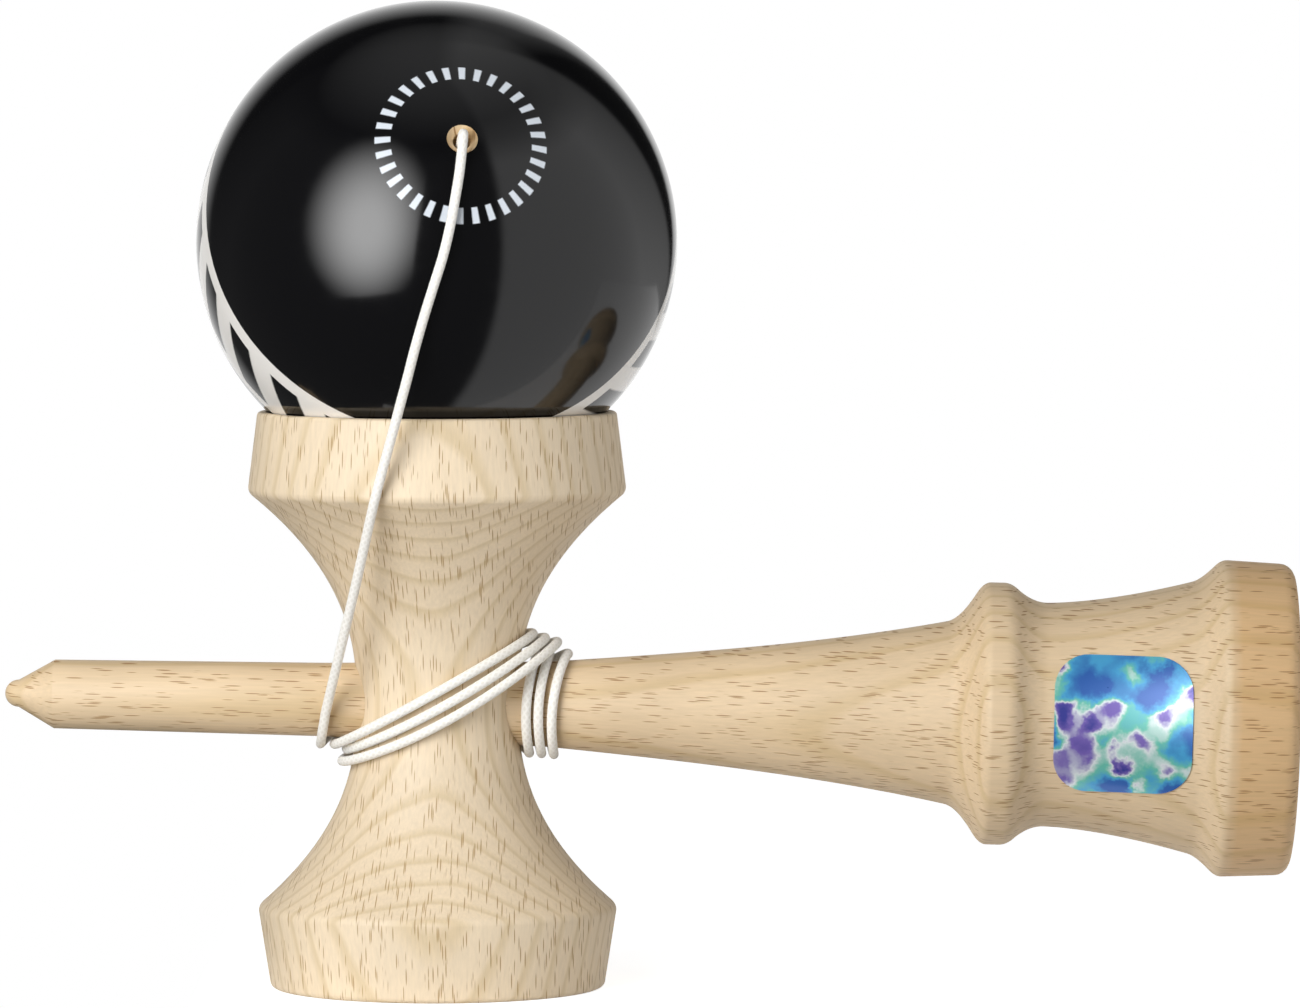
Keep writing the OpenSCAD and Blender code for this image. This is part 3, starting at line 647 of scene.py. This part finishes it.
def beech(name, pale, line, dash, pith, ring_mm, ray_deep, turn=(0, 0, 0), shift=(0, 0, 0), end=None):
    """Beech with its grain along Z after a turn and a shift, its pith at a place across the grain in mm,
    and perhaps a tone that comes in between two places along the grain."""
    material, tree, shader = new_material(name, IOR=1.5)
    place = add(tree, "ShaderNodeTexCoord").outputs["Object"]
    grain = add(tree, "ShaderNodeMapping", {"Vector": place, "Location": shift, "Rotation": turn}).outputs[0]
    # The year rings waver slowly, over about 25 mm across the grain and three times that along it
    drawn_out = add(tree, "ShaderNodeVectorMath", {0: grain, 1: (1, 1, 0.35)},
                    operation="MULTIPLY").outputs[0]
    waver = add(tree, "ShaderNodeTexNoise", {"Vector": drawn_out, "Scale": 1 / (25 * MM), "Detail": 3.0,
                                             "Roughness": 0.5}).outputs[0]
    flat = add(tree, "ShaderNodeVectorMath", {0: grain, 1: (1, 1, 0)}, operation="MULTIPLY").outputs[0]
    radius = add(tree, "ShaderNodeVectorMath", {0: flat, 1: (pith[0] * MM, pith[1] * MM, 0)},
                 operation="DISTANCE").outputs["Value"]
    drift = add(tree, "ShaderNodeMath", {0: waver, 1: 1.6}, operation="MULTIPLY").outputs[0]
    years = add(tree, "ShaderNodeMath", {0: radius, 1: 1 / (ring_mm * MM), 2: drift},
                operation="MULTIPLY_ADD").outputs[0]
    year = add(tree, "ShaderNodeMath", {0: years}, operation="FRACT").outputs[0]
    rings = add(tree, "ShaderNodeValToRGB", {"Fac": year}, stops=(
        (0.0, pale), (0.6, pale), (0.84, line), (0.9, line), (1.0, pale))).outputs[0]
    # Fibres a third of a millimetre wide, drawn coarser than real ones so that they show
    stretched = add(tree, "ShaderNodeVectorMath", {0: grain, 1: (1, 1, 0.04)},
                    operation="MULTIPLY").outputs[0]
    fibre = add(tree, "ShaderNodeTexNoise", {"Vector": stretched, "Scale": 1 / (0.35 * MM), "Detail": 3.0,
                                             "Roughness": 0.6}).outputs[0]
    tone = add(tree, "ShaderNodeTexNoise", {"Vector": grain, "Scale": 1 / (18 * MM),
                                            "Detail": 1.0}).outputs[0]
    # Rays, in under half of the cells round the pith, out from it and along the grain
    from_pith = add(tree, "ShaderNodeVectorMath", {0: grain, 1: (pith[0] * MM, pith[1] * MM, 0)},
                    operation="SUBTRACT").outputs[0]
    split = add(tree, "ShaderNodeSeparateXYZ", {"Vector": from_pith})
    round_pith = add(tree, "ShaderNodeMath", {0: split.outputs["Y"], 1: split.outputs["X"]},
                     operation="ARCTAN2").outputs[0]
    polar = add(tree, "ShaderNodeCombineXYZ", {"X": round_pith, "Y": radius,
                                               "Z": split.outputs["Z"]}).outputs[0]
    cell_counts = (Vector(pith).length / RAY_THICK, 1 / (ray_deep * MM), 1 / (RAY_TALL * MM))
    cells = add(tree, "ShaderNodeVectorMath", {0: polar, 1: cell_counts}, operation="MULTIPLY").outputs[0]
    spindles = add(tree, "ShaderNodeTexVoronoi", {"Vector": cells, "Scale": 1.0, "Randomness": 1.0})
    chance = add(tree, "ShaderNodeSeparateColor", {"Color": spindles.outputs["Color"]}).outputs[0]
    size = add(tree, "ShaderNodeMapRange", {"Value": chance, "From Min": 0.55, "From Max": 0.8,
                                            "To Max": 0.45}).outputs[0]
    inside = add(tree, "ShaderNodeMath", {0: size, 1: spindles.outputs["Distance"]},
                 operation="SUBTRACT").outputs[0]
    dashes = add(tree, "ShaderNodeMapRange", {"Value": inside, "From Max": 0.15, "To Max": 0.85}).outputs[0]
    streak = add(tree, "ShaderNodeMapRange", {"Value": fibre, "From Min": 0.3, "From Max": 0.7,
                                              "To Min": 0.94, "To Max": 1.04}).outputs[0]
    depth = add(tree, "ShaderNodeMapRange", {"Value": tone, "From Min": 0.3, "From Max": 0.7,
                                             "To Min": 0.94, "To Max": 1.04}).outputs[0]
    shade = add(tree, "ShaderNodeMath", {0: streak, 1: depth}, operation="MULTIPLY").outputs[0]
    toned = add(tree, "ShaderNodeVectorMath", {0: rings, "Scale": shade}, operation="SCALE").outputs[0]
    wood = add(tree, "ShaderNodeMix", {0: dashes, 6: toned, 7: hex_colour(dash)}, data_type="RGBA").outputs[2]
    if end:
        reached = add(tree, "ShaderNodeMapRange", {"Value": split.outputs["Z"], "From Min": end[0] * MM,
                                                   "From Max": end[1] * MM}).outputs[0]
        wood = add(tree, "ShaderNodeMix", {0: reached, 6: wood, 7: hex_colour(end[2])}, data_type="RGBA",
                   blend_type="MULTIPLY").outputs[2]
    tree.links.new(wood, shader.inputs["Base Color"])
    rough = add(tree, "ShaderNodeMapRange", {"Value": fibre, "To Min": 0.46, "To Max": 0.62}).outputs[0]
    tree.links.new(rough, shader.inputs["Roughness"])
    relief = add(tree, "ShaderNodeMath", {0: fibre, 1: dashes}, operation="SUBTRACT").outputs[0]
    bump = add(tree, "ShaderNodeBump", {"Height": relief, "Strength": 0.25, "Distance": 0.05 * MM}).outputs[0]
    tree.links.new(bump, shader.inputs["Normal"])
    return material


pale_beech = beech("beech_turned_and_sanded_pale", "#e4d1b4", "#d8c3a0", "#a5834f", pith=(9, 95), ring_mm=2.1,
                   ray_deep=4)
golden_beech = beech("beech_turned_and_sanded_golden", "#dfc6a2", "#d5bb92", "#99703f", pith=(-15, 90),
                     ring_mm=3.2, ray_deep=1.5, turn=(0, -(pi / 2 + LEAN), 0), shift=(HANDLE_Z * MM, 0, 0),
                     end=(97, 98.8, "#f9ead4"))
bare_beech = beech("beech_turned_bare", "#e0c69e", "#cfae7e", "#99703f", pith=(40, 60), ring_mm=2.5,
                   ray_deep=2)
for piece, material in ((cross_piece, pale_beech), (handle, golden_beech), (bead, bare_beech)):
    piece.data.materials.append(material)
print("wood:", pale_beech.name, golden_beech.name, bare_beech.name)

# %% [markdown]
# ### Gloss lacquer on the ball
# The ball is sprayed black with a white band round its middle, and polished, so it mirrors the studio in
# a black ground. The pattern is set by the angle from the string hole's axis, so it turns with the ball.
# A plain ring of short pale ticks goes round the string hole, and slanted black bars run along the white
# band. The holes are bare wood.

# %% Gloss lacquer
lacquer, tree, shader = new_material("polyurethane_lacquer_sprayed_and_polished", IOR=1.54)
axis_u = hole_dir.orthogonal().normalized()
axis_v = hole_dir.cross(axis_u)
place = add(tree, "ShaderNodeTexCoord").outputs["Object"]
outward = add(tree, "ShaderNodeVectorMath", {0: place, 1: tuple(ball_centre * MM)},
              operation="SUBTRACT").outputs[0]
outward = add(tree, "ShaderNodeVectorMath", {0: outward}, operation="NORMALIZE").outputs[0]
along, across_u, across_v = [
    add(tree, "ShaderNodeVectorMath", {0: outward, 1: tuple(d)}, operation="DOT_PRODUCT").outputs["Value"]
    for d in (hole_dir, axis_u, axis_v)]
angle = add(tree, "ShaderNodeMath", {0: along}, operation="ARCCOSINE").outputs[0]
angle = add(tree, "ShaderNodeMath", {0: angle, 1: 180 / pi}, operation="MULTIPLY").outputs[0]
around = add(tree, "ShaderNodeMath", {0: across_u, 1: across_v}, operation="ARCTAN2").outputs[0]


def between(value, low, high, soft, within=1.0):
    """1 where a value lies between two limits, with soft edges, times a share of another shape."""
    up = add(tree, "ShaderNodeMapRange", {"Value": value, "From Min": low - soft, "From Max": low + soft,
                                          "To Max": within}).outputs[0]
    down = add(tree, "ShaderNodeMapRange", {"Value": value, "From Min": high - soft, "From Max": high + soft,
                                            "To Min": 1.0, "To Max": 0.0}).outputs[0]
    return add(tree, "ShaderNodeMath", {0: up, 1: down}, operation="MULTIPLY").outputs[0]


def repeat(count, slant=0.0):
    """How far along each of a count of equal steps round the axis, from 0 to 1."""
    steps = add(tree, "ShaderNodeMath", {0: around, 1: count / (2 * pi)}, operation="MULTIPLY").outputs[0]
    moved = add(tree, "ShaderNodeMath", {0: angle, 1: slant, 2: steps}, operation="MULTIPLY_ADD").outputs[0]
    return add(tree, "ShaderNodeMath", {0: moved}, operation="FRACT").outputs[0]


# Degrees from the string hole, how many go round the ball, and how soft an edge is; a tick or a bar takes
# up about half of its step
TICK_FROM, TICK_TO, TICK_COUNT = 16.8, 20.6, 32
BAND_FROM, BAND_TO = 78.0, 102.0
BAR_FROM, BAR_TO, BAR_COUNT, BAR_SLANT = 82.0, 98.0, 22, 0.035
EDGE = 0.12
ticks = between(angle, TICK_FROM, TICK_TO, EDGE, within=between(repeat(TICK_COUNT), 0.2, 0.62, 0.04))
band = between(angle, BAND_FROM, BAND_TO, EDGE)
bars = between(angle, BAR_FROM, BAR_TO, EDGE, within=between(repeat(BAR_COUNT, BAR_SLANT), 0.1, 0.62, 0.02))
BLACK, WHITE, PALE_INK = hex_colour("#070709"), hex_colour("#ece9e4"), hex_colour("#d3dae2")
paint = BLACK
for shape, colour in ((band, WHITE), (bars, BLACK), (ticks, PALE_INK)):
    paint = add(tree, "ShaderNodeMix", {0: shape, 6: paint, 7: colour}, data_type="RGBA").outputs[2]
tree.links.new(paint, shader.inputs["Base Color"])
# Sprayed lacquer keeps a faint unevenness of about 2 mm, which blurs the edges of what it mirrors
uneven = add(tree, "ShaderNodeTexNoise", {"Vector": place, "Scale": 1 / (2.2 * MM), "Detail": 1.0}).outputs[0]
bump = add(tree, "ShaderNodeBump", {"Height": uneven, "Strength": 0.06, "Distance": 0.02 * MM}).outputs[0]
tree.links.new(bump, shader.inputs["Normal"])
rough = add(tree, "ShaderNodeMapRange", {"Value": uneven, "To Min": 0.07, "To Max": 0.13}).outputs[0]
tree.links.new(rough, shader.inputs["Roughness"])

# Faces that lie deeper than this belong to the holes
LACQUER_FROM = BALL_R - 0.06
ball.data.materials.append(lacquer)
ball.data.materials.append(bare_beech)
bare_faces = [f for f in ball.data.polygons if (f.center - ball_centre * MM).length < LACQUER_FROM * MM]
for face in bare_faces:
    face.material_index = 1
print("bare faces in the ball's holes:", len(bare_faces))

# %% [markdown]
# ### Braided polyester string
# The string is off-white and matt, with a soft sheen from its fine fibres. The braid's height is in the
# mesh; the material adds the shade between the strands from the cord's own map.

# %% Braided string
cord_material, tree, shader = new_material("polyester_braided", IOR=1.5, Roughness=0.75, Sheen_Weight=0.25,
                                           Sheen_Roughness=0.5)
braid = add(tree, "ShaderNodeUVMap", uv_map="braid").outputs["UV"]
split = add(tree, "ShaderNodeSeparateXYZ", {"Vector": braid})
waves = []
for sign in (1, -1):
    phase = add(tree, "ShaderNodeMath", {0: split.outputs["Y"], 1: sign * pi / BRAID_PITCH},
                operation="MULTIPLY").outputs[0]
    phase = add(tree, "ShaderNodeMath", {0: split.outputs["X"], 1: pi * BRAID_STRANDS, 2: phase},
                operation="MULTIPLY_ADD").outputs[0]
    wave = add(tree, "ShaderNodeMath", {0: phase}, operation="SINE").outputs[0]
    waves.append(add(tree, "ShaderNodeMath", {0: wave}, operation="ABSOLUTE").outputs[0])
height = add(tree, "ShaderNodeMath", {0: waves[0], 1: waves[1]}, operation="MAXIMUM").outputs[0]
shaded = add(tree, "ShaderNodeValToRGB", {"Fac": height}, stops=(
    (0.6, "#eae7df"), (0.85, "#f1efe9"), (1.0, "#f6f4ee"))).outputs[0]
tree.links.new(shaded, shader.inputs["Base Color"])
place = add(tree, "ShaderNodeTexCoord").outputs["Object"]
fuzz = add(tree, "ShaderNodeTexNoise", {"Vector": place, "Scale": 1 / (0.2 * MM), "Detail": 2.0}).outputs[0]
relief = add(tree, "ShaderNodeMath", {0: fuzz, 1: 0.3, 2: height}, operation="MULTIPLY_ADD").outputs[0]
bump = add(tree, "ShaderNodeBump", {"Height": relief, "Strength": 0.3, "Distance": 0.03 * MM}).outputs[0]
tree.links.new(bump, shader.inputs["Normal"])
for piece in (string, tail, handle_knot, ball_end, bead_knot):
    piece.data.materials.append(cord_material)
print("string:", cord_material.name)

# %% [markdown]
# ### Printed foil label
# The label is a printed foil: blue, teal and violet patches break up over a bright ground. A thin clear
# film over it gives the gloss.

# %% Printed foil
foil, tree, shader = new_material("foil_printed_and_laminated", IOR=1.5, Metallic=0.25, Coat_Weight=0.6,
                                  Coat_Roughness=0.12)
place = add(tree, "ShaderNodeTexCoord").outputs["Object"]
drift = add(tree, "ShaderNodeTexNoise", {"Vector": place, "Scale": 1 / (5 * MM), "Detail": 4.0,
                                         "Roughness": 0.7})
SWIRL = 4 * MM
swirled = add(tree, "ShaderNodeVectorMath", {0: drift.outputs["Color"], 1: (SWIRL, SWIRL, SWIRL), 2: place},
              operation="MULTIPLY_ADD").outputs[0]
patch = add(tree, "ShaderNodeTexVoronoi", {"Vector": swirled, "Scale": 1 / (3.2 * MM)}, feature="SMOOTH_F1")
pick = add(tree, "ShaderNodeSeparateColor", {"Color": patch.outputs["Color"]}).outputs[0]
colours = add(tree, "ShaderNodeValToRGB", {"Fac": pick}, stops=(
    (0.15, "#2f63b4"), (0.35, "#4aa6d8"), (0.5, "#6fc7b4"), (0.65, "#e4ecee"), (0.8, "#7a66b8"),
    (0.95, "#3b3f9a"))).outputs[0]
tree.links.new(colours, shader.inputs["Base Color"])
rough = add(tree, "ShaderNodeMapRange", {"Value": drift.outputs[0], "To Min": 0.2, "To Max": 0.45}).outputs[0]
tree.links.new(rough, shader.inputs["Roughness"])
label.data.materials.append(foil)
print("label:", foil.name)

# %% [markdown]
# ## Floor and light
# The photograph has a plain white ground, one large soft light on the left and a pale wall on the right;
# the studio in front is dark, which keeps the ball's middle black. The floor is a small white table top,
# whose front edge is just under the picture, so the ball has no bright floor to mirror in front. It glows
# for the camera, and a little less for rays that a shiny surface sends or a clear one lets through, so that
# it looks white and still keeps the shadow.

# %% Floor
SHEET_LEFT, SHEET_RIGHT, SHEET_FRONT, SHEET_BACK = -0.03, 0.4, -0.025, 0.4
SHEET_GLOW, SHEET_SHINE = 0.8, 0.65
bm = bmesh.new()
bm.faces.new([bm.verts.new(corner) for corner in (
    (SHEET_LEFT, SHEET_FRONT, 0), (SHEET_RIGHT, SHEET_FRONT, 0),
    (SHEET_RIGHT, SHEET_BACK, 0), (SHEET_LEFT, SHEET_BACK, 0))])
floor_mesh = bpy.data.meshes.new("floor")
bm.to_mesh(floor_mesh)
bm.free()
floor = bpy.data.objects.new("floor", floor_mesh)
bpy.context.scene.collection.objects.link(floor)


def seen_rays(tree):
    """Two values: 1 for rays from the camera, and 1 for rays off a shiny surface or through a clear one."""
    path = add(tree, "ShaderNodeLightPath")
    shiny = add(tree, "ShaderNodeMath", {0: path.outputs["Is Glossy Ray"],
                                         1: path.outputs["Is Transmission Ray"]},
                operation="MAXIMUM").outputs[0]
    return path.outputs["Is Camera Ray"], shiny


paper, tree, shader = new_material("paper_backdrop", IOR=1.5, Roughness=0.9, Specular_IOR_Level=0.0)
shader.inputs["Base Color"].default_value = hex_colour("#e6e6e6")
by_camera, by_shine = seen_rays(tree)
shine = add(tree, "ShaderNodeMapRange", {"Value": by_shine, "To Max": SHEET_SHINE}).outputs[0]
strength = add(tree, "ShaderNodeMapRange", {"Value": by_camera, "To Min": shine,
                                            "To Max": SHEET_GLOW}).outputs[0]
glow = add(tree, "ShaderNodeEmission", {"Color": (1, 1, 1, 1), "Strength": strength}).outputs[0]
lit_and_glowing = add(tree, "ShaderNodeAddShader", {0: shader.outputs[0], 1: glow}).outputs[0]
tree.links.new(lit_and_glowing, tree.nodes["Material Output"].inputs["Surface"])
floor_mesh.materials.append(paper)
print("floor:", paper.name)

# %% [markdown]
# The world is the studio round the toy, by direction: dark in front and on the left, a pale wall on the
# right from a third of the way round, a brighter ceiling, and the white ground behind, which a dark gap
# parts from the wall. The ground is white for the camera all round, and for shiny surfaces where it really
# hangs, behind the toy.

# %% World
WALL_FROM, WALL_LEVEL, DARK_LEVEL, CEILING_LEVEL = radians(31), 0.86, 0.09, 0.34
# The wall's far end slopes, and on the right a dark gap parts it from the white ground
WALL_SLOPE = 0.5
world = bpy.data.worlds.new("studio")
bpy.context.scene.world = world
world.use_nodes = True
tree = world.node_tree
direction = add(tree, "ShaderNodeTexCoord").outputs["Generated"]
split = add(tree, "ShaderNodeSeparateXYZ", {"Vector": direction})
past_edge = add(tree, "ShaderNodeVectorMath", {0: direction, 1: (cos(WALL_FROM), sin(WALL_FROM), 0)},
                operation="DOT_PRODUCT").outputs["Value"]
right_only = add(tree, "ShaderNodeMapRange", {"Value": split.outputs["X"], "From Max": 0.12,
                                              "To Min": DARK_LEVEL, "To Max": WALL_LEVEL}).outputs[0]
wall = add(tree, "ShaderNodeMapRange", {"Value": past_edge, "From Max": 0.06, "To Min": DARK_LEVEL,
                                        "To Max": right_only}).outputs[0]
wall_top = add(tree, "ShaderNodeMapRange", {"Value": split.outputs["Z"], "From Min": 0.6, "From Max": 0.85,
                                            "To Min": 1.0, "To Max": 0.2}).outputs[0]
past_end = add(tree, "ShaderNodeVectorMath", {0: direction, 1: (0, 1, WALL_SLOPE)},
               operation="DOT_PRODUCT").outputs["Value"]
wall_far = add(tree, "ShaderNodeMapRange", {"Value": past_end, "From Min": 0.4, "From Max": 0.84,
                                            "To Min": wall_top, "To Max": 0.3}).outputs[0]
on_right = add(tree, "ShaderNodeMapRange", {"Value": split.outputs["X"], "From Min": 0.25,
                                            "From Max": 0.4}).outputs[0]
gap = add(tree, "ShaderNodeMapRange", {"Value": on_right, "To Min": 0.2, "To Max": 0.02}).outputs[0]
wall_end = add(tree, "ShaderNodeMapRange", {"Value": past_end, "From Min": 0.83, "From Max": 0.87,
                                            "To Min": wall_far, "To Max": gap}).outputs[0]
ceiling = add(tree, "ShaderNodeMapRange", {"Value": split.outputs["Z"], "From Min": 0.75, "From Max": 1.0,
                                           "To Max": CEILING_LEVEL}).outputs[0]
level = add(tree, "ShaderNodeMath", {0: wall, 1: wall_end, 2: ceiling}, operation="MULTIPLY_ADD").outputs[0]
by_camera, by_shine = seen_rays(tree)
ground_from = add(tree, "ShaderNodeMapRange", {"Value": on_right, "To Min": 0.74,
                                               "To Max": 0.92}).outputs[0]
ground = add(tree, "ShaderNodeMapRange", {"Value": split.outputs["Y"], "From Min": ground_from,
                                          "From Max": 0.97, "To Max": by_shine}).outputs[0]
seen = add(tree, "ShaderNodeMath", {0: by_camera, 1: ground}, operation="MAXIMUM").outputs[0]
strength = add(tree, "ShaderNodeMapRange", {"Value": seen, "To Min": level, "To Max": 1.0}).outputs[0]
background = tree.nodes["Background"]
background.inputs["Color"].default_value = (1, 1, 1, 1)
tree.links.new(strength, background.inputs["Strength"])
print("world:", world.name)

# %% [markdown]
# The key light is a soft box on the left. Its glow is strongest off its middle, low and to the right, so
# the highlight it leaves on the ball is soft at the top left and has firmer edges below and on the right.

# %% Key light
KEY_AT, KEY_AIM = (-0.255, -0.332, 0.2), (0, 0, 0.093)
KEY_W, KEY_H, KEY_WATTS = 0.5, 0.66, 0.52
# How strong the glow is at its middle, where that is on the box, and how it falls off
KEY_CORE, CORE_AT, CORE_FROM, CORE_TO = 15.6, (0.6, 0.42, 0), 0.05, 0.56
key_data = bpy.data.lights.new("key_soft_box", "AREA")
key_data.shape, key_data.size, key_data.size_y, key_data.energy = "RECTANGLE", KEY_W, KEY_H, KEY_WATTS
key_data.use_nodes = True
tree = key_data.node_tree
spot = add(tree, "ShaderNodeNewGeometry").outputs["Parametric"]
away = add(tree, "ShaderNodeVectorMath", {0: spot, 1: CORE_AT}, operation="DISTANCE").outputs["Value"]
glow = add(tree, "ShaderNodeMapRange", {"Value": away, "From Min": CORE_FROM, "From Max": CORE_TO,
                                        "To Min": KEY_CORE, "To Max": 0.0},
           interpolation_type="SMOOTHSTEP").outputs[0]
tree.links.new(glow, tree.nodes["Emission"].inputs["Strength"])
key = bpy.data.objects.new("key_soft_box", key_data)
key.location = KEY_AT
key.rotation_euler = (Vector(KEY_AIM) - Vector(KEY_AT)).to_track_quat("-Z", "Y").to_euler()
key.visible_camera = False
bpy.context.scene.collection.objects.link(key)
print("key light, watts:", KEY_WATTS)

# %% [markdown]
# ## View settings
# The view stays plain, so colours come out as they were written.

# %% View settings
bpy.context.scene.view_settings.view_transform = "Standard"
bpy.context.view_layer.update()
